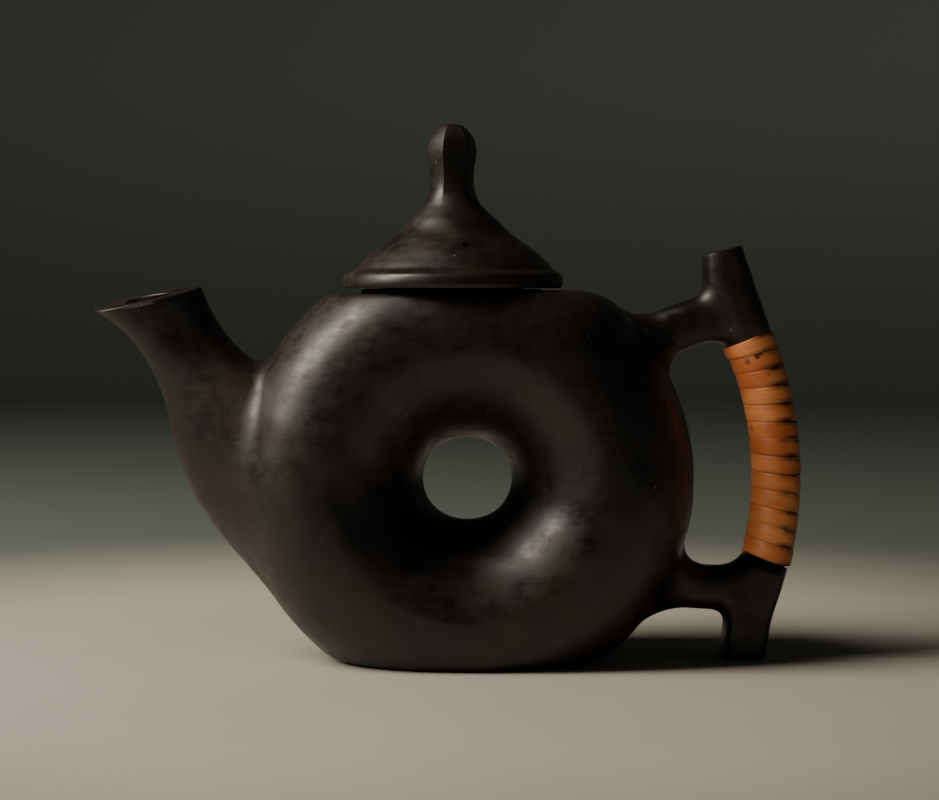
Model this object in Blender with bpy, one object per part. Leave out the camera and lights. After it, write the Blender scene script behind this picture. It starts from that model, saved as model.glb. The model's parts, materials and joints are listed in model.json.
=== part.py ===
"""Ring teapot of black-fired clay: a hollow ring standing on a flat base, a spout, an ear handle
wound with split cane, and a lift-off lid. Metres, +Z up, spout towards -X, handle towards +X.
The origin is on the resting face, under the ring's axis, which runs along Y."""

import math

import bmesh
import bpy
from mathutils import Matrix, Vector

# ---- Ring body
AXIS_HEIGHT = 0.0666          # ring's axis above the resting face
RING_RADIUS = 0.0836          # outside of the ring, seen from the front
HOLE_RADIUS = 0.0160          # narrowest part of the hole through the middle
BODY_DEPTH = 0.0810           # front to back, over the ring's two crests
SECTION_POWER = 2.2           # outside the crests: 2 is an ellipse, more is squarer
FUNNEL_POWER = 1.65           # from the crests to the hole: less is straighter, like a funnel
CLAY_WALL = 0.0045
SEAT_HEIGHT = 0.1365          # lid's seat above the resting face
BASE_THICKNESS = 0.0050
SEAT_THICKNESS = 0.0050
LUTED_GAP = 0.0003            # left between pieces that slip joins

# ---- Lid, turned about a vertical axis
LID_X = -0.0055
LID_RADIUS = 0.0407
MOUTH_RADIUS = 0.0270
SEAT_COLLAR = 0.0370          # radius of the round collar that carries the lid
FLANGE_CLEARANCE = 0.0010
FLANGE_WALL = 0.0040
FLANGE_DROP = 0.0085          # how far the flange reaches down into the mouth
LID_GAP = 0.0004              # between the lid and its seat
DOME_RISE = 0.0336            # lid's underside to the knob's foot
DOME_NECK_RADIUS = 0.0090
BEAD_HEIGHT = 0.0030          # upright part of the lid's rolled rim
BEAD_TOP = (0.0014, 0.0070)   # its end, (in from the rim, up from the underside)
DOME_HIP = (0.0160, 0.0165)   # control point of the dome's flank, measured the same way
DOME_SHOULDER = (0.0050, 0.0085)      # the other one, (out from the neck, below the crown)
HOLLOW_SHOULDER = (0.0120, 0.0110)    # control point of the dome's hollow, (radius, up)
HOLLOW_CROWN = 0.0050         # half width of the hollow's nearly flat crown
KNOB_HEIGHT = 0.0264
KNOB_WAIST_RADIUS = 0.0079
KNOB_HEAD_RADIUS = 0.0086
KNOB_TOP_RADIUS = 0.0037
KNOB_WAIST = (0.0060, 0.0104)         # waist's two ends, above the knob's foot
KNOB_HEAD = (0.0090, 0.0050, 0.0018)  # head's widest part and its rounding, below the knob's top
KNOB_HEAD_DRAW = (0.0006, 0.0026)     # in from the head's radius, and out from the top's
VENT_RADIUS = 0.0015
VENT_HEIGHT = 0.0146          # above the lid's underside
VENT_SIDE = 0.0050            # towards the handle from the lid's axis
VENT_SLOPE = (0.0100, 0.0080)         # drill's start above the vent and end below it
FLANGE_ROUNDING = 0.0010

# ---- Spout
MOUTH_LOW = (-0.1374, 0.1293)     # pouring tip, (x, z)
MOUTH_HIGH = (-0.0985, 0.1370)    # back of the spout's rim
MOUTH_HALF_DEPTH = 0.0125
ROOT_HALF_DEPTH = 0.0270
LIP = 0.0118                      # clay at the rim, along the mouth
LIP_SIDE = 0.0052                 # clay at the rim, front and back
SPOUT_WALL = 0.0060
MOUTH_ROLL = math.radians(8.0)    # rim leans towards the front
PORT_RADIUS = 0.0090              # hole from the ring into the spout
PORT_RISE = 0.0080                # its centre above the ring's axis
SPOUT_ROOT_SHARE = 0.79           # of the ring's radius, where the spout's skin starts
SPOUT_ROOT_DROP = 0.0406          # skin's start below the ring's axis
SPOUT_ROOT_RISE = 0.0434          # and above it
SPOUT_BELLY = (-0.0477, -0.0042)  # control points of the lower flank, (x from the ring's left
SPOUT_NECK = (-0.0081, 0.0353)    # edge, z from its axis)
SPOUT_SADDLE = (-0.0046, 0.0415)  # and of the upper flank
SPOUT_THROAT = (-0.0087, 0.0515)

# ---- Handle
FINGER_GAP = 0.0217               # ring to grip
GRIP_RADIUS = 0.0092              # over the cane
GRIP_ARC_RADIUS = 0.1300
GRIP_TOP = math.radians(23.6)     # grip's ends, as angles on its arc
GRIP_BOTTOM = math.radians(-13.6)
CANE_THICKNESS = 0.0011
CANE_WIDTH = 0.0058
CANE_PITCH = 0.0063
CANE_SLACK = 0.0003               # between the cane and the core
ARM_DEPTH = 0.0220
ARM_ROUNDING = 0.0030
POST_HEIGHT = 0.0344              # thumb rest above the grip's top
POST_WIDTH = 0.0134
FOOT_WIDTH = 0.0159
POST_SETBACK = 0.0170             # thumb rest's inner face, in from the grip's top
POST_FACE = ((0.0, -0.0140), (0.0003, -0.0060), (0.0059, -0.0014))  # (in from it, from its top)
POST_BACK = (0.0026, 0.0208)      # a point of its outer face, from the grip's top
UNDER_STEP = (-0.0060, 0.0028)    # where the upper arm's underside leaves the grip
TOP_STEP = (-0.0090, -0.0040)     # where the lower arm's upper side leaves the grip
SHIN_DRAW = (-0.0036, 0.50)       # a point of the foot's outer face, (x, share of the height)
HEEL_SETBACK = 0.0006             # foot's heel, in from the grip's end
TOE_FACE = ((0.0001, 0.0081), (-0.0026, 0.0159))    # points of its inner face, from the toe

# Arms' edges near the ring, as (degrees on the ring's face, distance off it)
UPPER_SADDLE = ((60.0, -0.0100), (52.0, 0.0), (45.5, 0.0030), (42.2, 0.0073), (40.2, 0.0128),
                (38.8, 0.0250))
UPPER_UNDER = ((30.7, 0.0118), (29.0, 0.0052), (25.0, 0.0020), (17.0, 0.0002), (12.0, -0.0100))
LOWER_ARCH = ((-30.6, 0.0110), (-32.4, 0.0055), (-35.5, 0.0012), (-42.0, -0.0012),
              (-46.0, -0.0100))
LOWER_TOP = ((-6.0, -0.0100), (-12.0, 0.0002), (-16.5, 0.0018), (-19.0, 0.0066))

RING_STEPS = 48
TURNED_STEPS = 36
OUTSIDE_STEPS = 10                # along half of the ring's section
INSIDE_STEPS = 8
SPOUT_STEPS = (12, 8)             # along the spout, outside and inside
SPOUT_POINTS = 24                 # round it
GRIP_STEPS = 14
GRIP_POINTS = 20
CANE_STEPS = 16                   # in each turn of the cane

AXIS = Vector((0.0, 0.0, AXIS_HEIGHT))
TUBE_RADIUS = (RING_RADIUS - HOLE_RADIUS) / 2
CREST_RADIUS = (RING_RADIUS + HOLE_RADIUS) / 2
GRIP_CENTRE_X = RING_RADIUS + FINGER_GAP + GRIP_RADIUS - GRIP_ARC_RADIUS
GRIP_CENTRE_Z = AXIS_HEIGHT
LID_BOTTOM = SEAT_HEIGHT + LID_GAP


# ---- Small tools

def clay(name, colour, roughness):
    material = bpy.data.materials.new(name)
    material.use_nodes = True
    shader = material.node_tree.nodes["Principled BSDF"]
    shader.inputs["Base Color"].default_value = (*colour, 1.0)
    shader.inputs["Roughness"].default_value = roughness
    material.diffuse_color = (*colour, 1.0)
    return material


def add(name, mesh_data, colour=(0.020, 0.016, 0.014), roughness=0.42):
    """Turns a bmesh into a named object with its own material and outward faces."""
    bmesh.ops.recalc_face_normals(mesh_data, faces=mesh_data.faces)
    mesh = bpy.data.meshes.new(name)
    mesh_data.to_mesh(mesh)
    mesh_data.free()
    mesh.shade_smooth()
    mesh.set_sharp_from_angle(angle=math.radians(35))
    mesh.materials.append(clay(name + "_finish", colour, roughness))
    made = bpy.data.objects.new(name, mesh)
    bpy.context.scene.collection.objects.link(made)
    return made


def guide(made):
    """Marks an object as a cutter: it shapes others and is no part itself."""
    made.hide_render = True
    made.display_type = "WIRE"
    return made


def boolean(made, other, operation):
    step = made.modifiers.new(operation.lower() + "_" + other.name, "BOOLEAN")
    step.operation = operation
    step.solver = "EXACT"
    step.object = other


def turned(outline, centre, axis, steps):
    """Spins a closed outline of points a full turn about an axis."""
    shape = bmesh.new()
    points = [shape.verts.new(p) for p in outline]
    pairs = zip(points, points[1:] + points[:1])
    edges = [shape.edges.new(pair) for pair in pairs]
    bmesh.ops.spin(shape, geom=points + edges, cent=centre, axis=axis,
                   angle=2 * math.pi, steps=steps, use_merge=True)
    bmesh.ops.remove_doubles(shape, verts=shape.verts, dist=1e-7)
    bmesh.ops.dissolve_degenerate(shape, edges=shape.edges, dist=1e-7)
    return shape


def block(low, high):
    shape = bmesh.new()
    size = Vector(high) - Vector(low)
    middle = (Vector(high) + Vector(low)) / 2
    place = Matrix.Translation(middle) @ Matrix.Diagonal((*size, 1.0))
    bmesh.ops.create_cube(shape, size=1.0, matrix=place)
    return shape


def rod(start, end, radius, steps=24):
    """A plain cylinder from one point to another."""
    shape = bmesh.new()
    along = Vector(end) - Vector(start)
    place = Matrix.Translation((Vector(start) + Vector(end)) / 2)
    turn = along.to_track_quat("Z", "Y").to_matrix().to_4x4()
    bmesh.ops.create_cone(shape, cap_ends=True, segments=steps, radius1=radius, radius2=radius,
                          depth=along.length, matrix=place @ turn)
    return shape


def tunnel(rings):
    """Skins a closed chain of closed loops, so that the last joins the first."""
    shape = bmesh.new()
    loops = [[shape.verts.new(p) for p in ring] for ring in rings]
    for near, far in zip(loops, loops[1:] + loops[:1]):
        for i in range(len(near)):
            j = (i + 1) % len(near)
            shape.faces.new((near[i], near[j], far[j], far[i]))
    return shape


def capped(rings):
    """Skins an open chain of closed loops and closes its two ends."""
    shape = bmesh.new()
    loops = [[shape.verts.new(p) for p in ring] for ring in rings]
    for near, far in zip(loops, loops[1:]):
        for i in range(len(near)):
            j = (i + 1) % len(near)
            shape.faces.new((near[i], near[j], far[j], far[i]))
    shape.faces.new(loops[0])
    shape.faces.new(loops[-1])
    return shape


def bezier(a, b, c, d, t):
    s = 1 - t
    return [s**3 * p + 3 * s * s * t * q + 3 * s * t * t * r + t**3 * u
            for p, q, r, u in zip(a, b, c, d)]


def through(points, steps=3):
    """A smooth open run through the points, by Catmull-Rom spans."""
    ends = [points[0]] + list(points) + [points[-1]]
    run = []
    for before, a, b, after in zip(ends, ends[1:], ends[2:], ends[3:]):
        lead = [p + (q - o) / 6 for o, p, q in zip(before, a, b)]
        trail = [q - (r - p) / 6 for p, q, r in zip(a, b, after)]
        run += [bezier(a, lead, trail, b, k / steps) for k in range(steps)]
    return run + [list(points[-1])]


# ---- Ring body

def half_section(inset, side, steps, gap=0.0):
    """(radius, y) from the outer edge over one crest to the hole: half of a rounded oval."""
    wide = TUBE_RADIUS - inset
    deep = BODY_DEPTH / 2 - inset
    run = []
    for k in range(steps + 1):
        angle = math.pi * k / steps
        power = SECTION_POWER if 2 * k <= steps else FUNNEL_POWER
        along = math.copysign(abs(math.cos(angle)) ** (2 / power), math.cos(angle))
        across = math.sin(angle) ** (2 / power) if 0 < k < steps else 0.0
        run.append((CREST_RADIUS + wide * along, side * max(deep * across, gap)))
    return run


def ring_outline(section):
    return [(radius, y, AXIS_HEIGHT) for radius, y in section]


def envelope(name, swell=0.0):
    """The ring as if it were solid, for cutting what meets it."""
    front = half_section(-swell, -1, OUTSIDE_STEPS)
    back = half_section(-swell, 1, OUTSIDE_STEPS)
    outline = ring_outline(front + back[::-1][1:-1])
    return guide(add(name, turned(outline, AXIS, (0, 1, 0), RING_STEPS)))


def body_shell(name, side, cutters):
    """One press-moulded half of the hollow ring, open along the seam where the halves are luted."""
    gap = LUTED_GAP / 2
    outside = half_section(0.0, side, OUTSIDE_STEPS, gap)
    inside = half_section(CLAY_WALL, side, INSIDE_STEPS, gap)
    outline = ring_outline(outside + inside[::-1])
    shell = add(name, turned(outline, AXIS, (0, 1, 0), RING_STEPS))
    for cutter in cutters:
        boolean(shell, cutter, "DIFFERENCE")
    return shell


def body():
    reach = 2 * RING_RADIUS
    below = guide(add("below_cutter", block(
        (-reach, -reach, -reach), (reach, reach, BASE_THICKNESS + LUTED_GAP))))
    above = guide(add("above_cutter", block(
        (-reach, -reach, SEAT_HEIGHT - SEAT_THICKNESS - LUTED_GAP), (reach, reach, reach * 2))))
    port_z = AXIS_HEIGHT + PORT_RISE
    port = guide(add("port_cutter", rod(
        (-RING_RADIUS - CLAY_WALL, 0, port_z), (-RING_RADIUS + 3 * CLAY_WALL, 0, port_z), PORT_RADIUS)))
    low = SEAT_HEIGHT - SEAT_THICKNESS
    mouth = guide(add("mouth_cutter", rod(
        (LID_X, 0, low - FLANGE_DROP), (LID_X, 0, SEAT_HEIGHT + CLAY_WALL), MOUTH_RADIUS, TURNED_STEPS)))
    body_shell("body_front_shell", -1, (below, above, port, mouth))
    body_shell("body_back_shell", 1, (below, above, port, mouth))

    solid = envelope("ring_envelope")
    base = add("base_slab", block((-reach, -reach, 0), (reach, reach, BASE_THICKNESS)))
    boolean(base, solid, "INTERSECT")

    plate = add("lid_seat", block((-reach, -reach, low), (reach, reach, SEAT_HEIGHT)))
    boolean(plate, solid, "INTERSECT")
    collar = guide(add("seat_collar", rod((LID_X, 0, low), (LID_X, 0, SEAT_HEIGHT), SEAT_COLLAR, 48)))
    boolean(plate, collar, "UNION")
    boolean(plate, mouth, "DIFFERENCE")


# ---- Spout

def beside_ring(offset):
    """(x, z) of a point given from the ring's left edge at the height of its axis."""
    return (offset[0] - RING_RADIUS, offset[1] + AXIS_HEIGHT)


def spout_rings(thin, steps, points=SPOUT_POINTS):
    """Oval sections strung between the spout's lower and upper flanks, which are two curves."""
    root_x = -RING_RADIUS * SPOUT_ROOT_SHARE
    root_low = (root_x, AXIS_HEIGHT - SPOUT_ROOT_DROP)
    root_high = (root_x, AXIS_HEIGHT + SPOUT_ROOT_RISE)
    belly = beside_ring(SPOUT_BELLY)
    neck = beside_ring(SPOUT_NECK)
    saddle = beside_ring(SPOUT_SADDLE)
    throat = beside_ring(SPOUT_THROAT)
    rings = []
    for k in range(steps + 1):
        t = k / steps
        low = Vector(bezier(root_low, belly, neck, MOUTH_LOW, t))
        high = Vector(bezier(root_high, saddle, throat, MOUTH_HIGH, t))
        middle = (low + high) / 2
        lip = thin * (SPOUT_WALL + (LIP - SPOUT_WALL) * t**3)
        side = thin * (SPOUT_WALL + (LIP_SIDE - SPOUT_WALL) * t**3)
        half = (high - low) / 2
        half *= 1 - lip / half.length
        deep = ROOT_HALF_DEPTH + (MOUTH_HALF_DEPTH - ROOT_HALF_DEPTH) * math.sin(t * math.pi / 2) - side
        roll = MOUTH_ROLL * t * t
        ring = []
        for i in range(points):
            turn = 2 * math.pi * i / points
            across = deep * math.sin(turn)
            x = middle.x + half.x * math.cos(turn)
            z = middle.y + half.y * math.cos(turn) + across * math.sin(roll)
            ring.append((x, across * math.cos(roll), z))
        rings.append(ring)
    return rings


def spout(cutter):
    outside = spout_rings(0.0, SPOUT_STEPS[0])
    inside = spout_rings(1.0, SPOUT_STEPS[1])
    made = add("spout", tunnel(outside + inside[::-1]))
    boolean(made, cutter, "DIFFERENCE")


# ---- Handle

def grip_point(angle, out=0.0):
    """(x, z) on the grip's arc, or a distance outside it."""
    reach = GRIP_ARC_RADIUS + out
    return (GRIP_CENTRE_X + reach * math.cos(angle), GRIP_CENTRE_Z + reach * math.sin(angle))


def ring_point(place):
    """(x, z) of a point given in degrees on the ring's face and in distance off it."""
    angle = math.radians(place[0])
    reach = RING_RADIUS + place[1]
    return (reach * math.cos(angle), AXIS_HEIGHT + reach * math.sin(angle))


def moved(start, offset):
    return (start[0] + offset[0], start[1] + offset[1])


def arm(name, outline, cutter):
    """A flat-sided clay arm: its outline carried from front to back, with rounded edges."""
    half = ARM_DEPTH / 2
    shape = bmesh.new()
    face = shape.faces.new([shape.verts.new((x, -half, z)) for x, z in outline])
    grown = bmesh.ops.extrude_face_region(shape, geom=[face])
    far = [v for v in grown["geom"] if isinstance(v, bmesh.types.BMVert)]
    bmesh.ops.translate(shape, verts=far, vec=(0, ARM_DEPTH, 0))
    made = add(name, shape)
    rounding = made.modifiers.new("rounded_edges", "BEVEL")
    rounding.width = ARM_ROUNDING
    rounding.segments = 2
    rounding.limit_method = "ANGLE"
    rounding.angle_limit = math.radians(60)
    rounding.use_clamp_overlap = False
    boolean(made, cutter, "DIFFERENCE")
    return made


def upper_arm(cutter):
    """Leaves the ring's shoulder, dips, and rises as a thumb rest over the grip."""
    tip = grip_point(GRIP_TOP)
    seat = LUTED_GAP / GRIP_ARC_RADIUS
    outer = grip_point(GRIP_TOP + seat, GRIP_RADIUS - CANE_THICKNESS)
    inner = grip_point(GRIP_TOP + seat, CANE_THICKNESS - GRIP_RADIUS)
    corner = (tip[0] - POST_SETBACK, tip[1] + POST_HEIGHT)
    end = moved(corner, (POST_WIDTH, 0.0))
    face = [moved(corner, offset) for offset in POST_FACE]
    saddle = through([ring_point(place) for place in UPPER_SADDLE] + face + [end], 2)
    back = through([end, moved(tip, POST_BACK), outer], 3)
    under = through([inner, moved(inner, UNDER_STEP)] + [ring_point(place) for place in UPPER_UNDER], 2)
    return arm("upper_handle_arm", saddle[:-1] + back[:-1] + [outer] + under, cutter)


def lower_arm(cutter):
    """Leaves the ring low down, carries the grip's end, and drops to a foot post."""
    tip = grip_point(GRIP_BOTTOM)
    seat = LUTED_GAP / GRIP_ARC_RADIUS
    outer = grip_point(GRIP_BOTTOM - seat, GRIP_RADIUS - CANE_THICKNESS)
    inner = grip_point(GRIP_BOTTOM - seat, CANE_THICKNESS - GRIP_RADIUS)
    heel = (tip[0] - HEEL_SETBACK, 0.0)
    toe = (heel[0] - FOOT_WIDTH, 0.0)
    shin = through([outer, (outer[0] + SHIN_DRAW[0], outer[1] * SHIN_DRAW[1]), heel], 3)
    face = [moved(toe, offset) for offset in TOE_FACE]
    arch = through([toe] + face + [ring_point(place) for place in LOWER_ARCH], 2)
    top = through([ring_point(place) for place in LOWER_TOP] + [moved(inner, TOP_STEP), inner], 2)
    return arm("lower_handle_arm", shin + arch + top, cutter)


def grip_frame(angle):
    """Place on the grip's arc with its outward and sideways directions."""
    x, z = grip_point(angle)
    outward = Vector((math.cos(angle), 0, math.sin(angle)))
    return Vector((x, 0, z)), outward, Vector((0, 1, 0))


def grip_core():
    """The clay bar under the cane, a little thinner than the arms it joins."""
    radius = GRIP_RADIUS - CANE_THICKNESS - CANE_SLACK
    rings = []
    turns = [2 * math.pi * i / GRIP_POINTS for i in range(GRIP_POINTS)]
    for k in range(GRIP_STEPS + 1):
        place, outward, side = grip_frame(GRIP_BOTTOM + (GRIP_TOP - GRIP_BOTTOM) * k / GRIP_STEPS)
        rings.append([place + radius * (outward * math.cos(a) + side * math.sin(a)) for a in turns])
    return add("grip_core", capped(rings))


def cane_wrap():
    """One flat strip wound round the core from end to end, edge beside edge."""
    margin = (CANE_WIDTH / 2 + 2 * LUTED_GAP) / GRIP_ARC_RADIUS
    start = GRIP_BOTTOM + margin
    swept = GRIP_TOP - margin - start
    turns = swept * GRIP_ARC_RADIUS / CANE_PITCH
    steps = round(CANE_STEPS * turns)
    inner = GRIP_RADIUS - CANE_THICKNESS
    half = CANE_WIDTH / 2 / GRIP_ARC_RADIUS
    rings = []
    for k in range(steps + 1):
        along = start + swept * k / steps
        wind = 2 * math.pi * turns * k / steps
        corners = ((-half, inner), (half, inner), (half, GRIP_RADIUS), (-half, GRIP_RADIUS))
        ring = []
        for shift, radius in corners:
            place, outward, side = grip_frame(along + shift)
            ring.append(place + radius * (outward * math.cos(wind) + side * math.sin(wind)))
        rings.append(ring)
    return add("cane_wrap", capped(rings), (0.40, 0.17, 0.045), 0.5)


def handle(cutter):
    upper_arm(cutter)
    lower_arm(cutter)
    grip_core()
    cane_wrap()


# ---- Lid

def lid_axis_turn(outline):
    placed = [(LID_X + radius, 0, z) for radius, z in outline]
    return turned(placed, (LID_X, 0, 0), (0, 0, 1), TURNED_STEPS)


def lid_dome():
    """An ogee dome with a rolled rim, hollow beneath, with one steam vent in front."""
    crown = LID_BOTTOM + DOME_RISE
    wall = CLAY_WALL - LUTED_GAP
    bead_end = (LID_RADIUS - BEAD_TOP[0], LID_BOTTOM + BEAD_TOP[1])
    hip = (LID_RADIUS - DOME_HIP[0], LID_BOTTOM + DOME_HIP[1])
    shoulder = (DOME_NECK_RADIUS + DOME_SHOULDER[0], crown - DOME_SHOULDER[1])
    bead = [(LID_RADIUS, LID_BOTTOM), (LID_RADIUS, LID_BOTTOM + BEAD_HEIGHT), bead_end]
    rise = [bezier(bead_end, hip, shoulder, (DOME_NECK_RADIUS, crown), k / 9) for k in range(1, 10)]
    hollow_wide = MOUTH_RADIUS - FLANGE_CLEARANCE - FLANGE_WALL
    hollow_top = crown - 2 * wall
    hollow_hip = (HOLLOW_SHOULDER[0], LID_BOTTOM + HOLLOW_SHOULDER[1])
    hollow = [bezier((0.0, hollow_top), (HOLLOW_CROWN, hollow_top), hollow_hip,
                     (hollow_wide, LID_BOTTOM), k / 6) for k in range(7)]
    outline = bead + rise + [(0.0, crown)] + hollow
    dome = add("lid_dome", lid_axis_turn(outline))
    height = LID_BOTTOM + VENT_HEIGHT
    side = LID_X + VENT_SIDE
    drill = guide(add("vent_cutter", rod(
        (side, -LID_RADIUS, height + VENT_SLOPE[0]), (side, 0.0, height - VENT_SLOPE[1]),
        VENT_RADIUS, 12)))
    boolean(dome, drill, "DIFFERENCE")


def lid_flange():
    """The locating ring under the dome, which drops into the mouth."""
    outside = MOUTH_RADIUS - FLANGE_CLEARANCE
    inside = outside - FLANGE_WALL
    top = LID_BOTTOM - LUTED_GAP
    low = SEAT_HEIGHT - FLANGE_DROP
    edge = FLANGE_ROUNDING
    outline = [(outside, top), (outside, low + edge), (outside - edge, low),
               (inside + edge, low), (inside, low + edge), (inside, top)]
    return add("lid_flange", lid_axis_turn(outline))


def lid_knob():
    """A waisted peg with a rounded head."""
    foot = LID_BOTTOM + DOME_RISE + LUTED_GAP
    top = foot + KNOB_HEIGHT
    flank = through([(DOME_NECK_RADIUS, foot), (KNOB_WAIST_RADIUS, foot + KNOB_WAIST[0]),
                     (KNOB_WAIST_RADIUS, foot + KNOB_WAIST[1]), (KNOB_HEAD_RADIUS, top - KNOB_HEAD[0]),
                     (KNOB_HEAD_RADIUS - KNOB_HEAD_DRAW[0], top - KNOB_HEAD[1]),
                     (KNOB_TOP_RADIUS + KNOB_HEAD_DRAW[1], top - KNOB_HEAD[2]),
                     (KNOB_TOP_RADIUS, top)], 2)
    outline = [(0.0, foot)] + flank + [(0.0, top)]
    return add("lid_knob", lid_axis_turn(outline))


def main():
    for old in list(bpy.data.objects):
        bpy.data.objects.remove(old)
    body()
    cutter = envelope("ring_envelope_with_gap", LUTED_GAP)
    spout(cutter)
    handle(cutter)
    lid_dome()
    lid_flange()
    lid_knob()


main()
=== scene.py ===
"""Ring teapot of burnished black clay with a cane-bound handle: surfaces, materials and stage.

Metres, +Z up, spout towards -X, handle towards +X, the ring's axis along Y. Every new piece is a
numpy surface: a function of two parameters on a grid, put into a mesh whole.
"""

import functools
import json
import math

import bmesh
import bpy
import mathutils
import numpy as np
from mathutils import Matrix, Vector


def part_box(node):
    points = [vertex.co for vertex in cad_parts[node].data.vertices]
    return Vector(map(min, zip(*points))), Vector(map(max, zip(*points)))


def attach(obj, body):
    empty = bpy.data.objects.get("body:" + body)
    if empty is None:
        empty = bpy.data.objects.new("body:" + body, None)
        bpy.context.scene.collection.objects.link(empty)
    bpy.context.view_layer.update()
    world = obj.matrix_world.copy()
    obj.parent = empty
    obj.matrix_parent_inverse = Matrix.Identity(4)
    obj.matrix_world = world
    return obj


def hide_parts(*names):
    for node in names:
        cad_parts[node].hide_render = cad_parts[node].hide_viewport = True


bl_info = {
    "name": "Ring Teapot",
    "version": (1, 0, 0),
    "blender": (4, 5, 0),
    "location": "View3D > Sidebar > Ring Teapot",
    "description": "Builds a ring teapot of burnished black clay with a cane-bound handle",
    "category": "Add Mesh",
}

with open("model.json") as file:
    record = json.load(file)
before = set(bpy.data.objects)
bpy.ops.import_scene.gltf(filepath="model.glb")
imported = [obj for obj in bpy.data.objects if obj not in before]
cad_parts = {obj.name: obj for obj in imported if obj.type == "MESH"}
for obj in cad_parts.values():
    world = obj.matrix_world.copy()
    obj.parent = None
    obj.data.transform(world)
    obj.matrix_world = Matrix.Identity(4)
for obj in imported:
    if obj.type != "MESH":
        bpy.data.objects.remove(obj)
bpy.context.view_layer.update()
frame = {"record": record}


# ---- Sizes read from the frame

def corners(node):
    """The low and high corners of a node's box."""
    return tuple(np.array(corner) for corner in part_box(node))


def opening(name):
    """The low and high corners of one of the record's stated openings."""
    boxes = frame["record"]["physics"]["openings"]
    return next(np.array(b["box_m"]) for b in boxes if b["name"] == name)


HAND_MARGIN = 0.0001  # room for the wobble of the hand inside the frame's sizes
RING_LOW, RING_HIGH = corners("body_front_shell")
SEAT_LOW, SEAT_HIGH = corners("lid_seat")
DOME_LOW, DOME_HIGH = corners("lid_dome")
FLANGE_LOW, FLANGE_HIGH = corners("lid_flange")
SPOUT_LOW, SPOUT_HIGH = corners("spout")
CANE_LOW, CANE_HIGH = corners("cane_wrap")
CORE_LOW, CORE_HIGH = corners("grip_core")
RING_RADIUS = float(RING_HIGH[0])
HALF_DEPTH = float(-RING_LOW[1]) - HAND_MARGIN
AXIS_HEIGHT = float(opening("ring_hole")[:, 2].mean())
AXIS = np.array((0.0, 0.0, AXIS_HEIGHT))
SEAT_HEIGHT = float(SEAT_HIGH[2])
LID_X = float((DOME_LOW[0] + DOME_HIGH[0]) / 2)
GRIP_RADIUS = float(CANE_HIGH[1])
GRIP_APEX_X = float(CANE_HIGH[0]) - GRIP_RADIUS
GRIP_MIDDLE = (float(CANE_LOW[0] + CANE_HIGH[0]) / 2, 0.0, float(CANE_LOW[2] + CANE_HIGH[2]) / 2)
TAU = 2 * math.pi


def linear(hex_colour):
    """An sRGB hex colour as linear red, green and blue."""
    shares = [int(hex_colour[i:i + 2], 16) / 255 for i in (1, 3, 5)]
    return tuple(s / 12.92 if s <= 0.04045 else ((s + 0.055) / 1.055) ** 2.4 for s in shares)


# ---- Settings a user would change

def length(name, description, default):
    """A setting that is a length."""
    return bpy.props.FloatProperty(name=name, description=description, default=default, unit="LENGTH")


def tint(name, description, hex_colour):
    """A setting that is a colour."""
    return bpy.props.FloatVectorProperty(name=name, description=description, subtype="COLOR", size=3,
                                         default=linear(hex_colour))


class RingSettings(bpy.types.PropertyGroup):
    wall: length("Wall", "Thickness of the clay", 0.0045)
    hole_width: length("Hole width", "Half the width of the hole, at its narrowest", 0.0165)
    hole_height: length("Hole height", "Half the height of the hole", 0.0154)
    shoulder_swell: length("Shoulder swell", "How far the shoulder by the spout stands proud", 0.0016)
    hand_wobble: length("Hand wobble", "Height of the hollows that the potter's fingers leave", 0.00028)
    mouth_radius: length("Mouth radius", "Radius of the round filling mouth", 0.0270)


class JointSettings(bpy.types.PropertyGroup):
    spout_spread: length("Spout spread", "Radius of the smoothed joint round the spout's root", 0.0120)
    arm_spread: length("Arm spread", "Radius of the smoothed joint round a handle arm", 0.0085)
    post_spread: length("Post spread", "Radius of the smoothed joint between an arm and its post", 0.0052)


class CaneSettings(bpy.types.PropertyGroup):
    pitch: length("Pitch", "Spacing of the turns", 0.0063)
    thickness: length("Thickness", "Thickness of the strip", 0.0011)
    colour: tint("Cane colour", "Colour of the varnished cane", "#df8c4d")
    # Painted shade: colour of the dark lines that stand in for the shade between the turns, and of the dark
    # spots
    gap_shade_and_spot_colour: tint("Edge colour", "Colour of the strip's stained edges", "#3c1208")


class ClaySettings(bpy.types.PropertyGroup):
    colour: tint("Clay colour", "Colour of the smoked clay", "#110d0a")
    smoke_colour: tint("Smoke colour", "Colour of the browner patches", "#2c2017")


class StageSettings(bpy.types.PropertyGroup):
    distance: length("Distance", "Camera to the middle of the teapot", 0.800)
    eye_height: length("Eye height", "Camera above the floor", 0.137)
    lens: bpy.props.FloatProperty(
        name="Lens", description="Focal length on a 36 mm sensor", default=83.0, unit="CAMERA")
    key_power: bpy.props.FloatProperty(
        name="Key power", description="Strength of the soft box at the left", default=21.5, unit="POWER")
    grip_share: bpy.props.FloatProperty(
        name="Grip share", description="Strength of the cane's own soft box against it", default=0.19)
    floor_colour: tint("Floor colour", "Colour of the pale floor", "#c2bcb2")


# ---- Surface tools

TINY = 1e-9  # keeps a division from meeting zero
POINT_LIKE = 1e-12  # shorter than any real direction here
SMOOTH_ANGLE = 40.0  # degrees between faces past which an edge is sharp


def power_curve(values, power):
    """cos or sin values bent into those of a rounded square: sign(v) |v|^(2/power)."""
    return np.sign(values) * np.abs(values) ** (2 / power)


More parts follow.
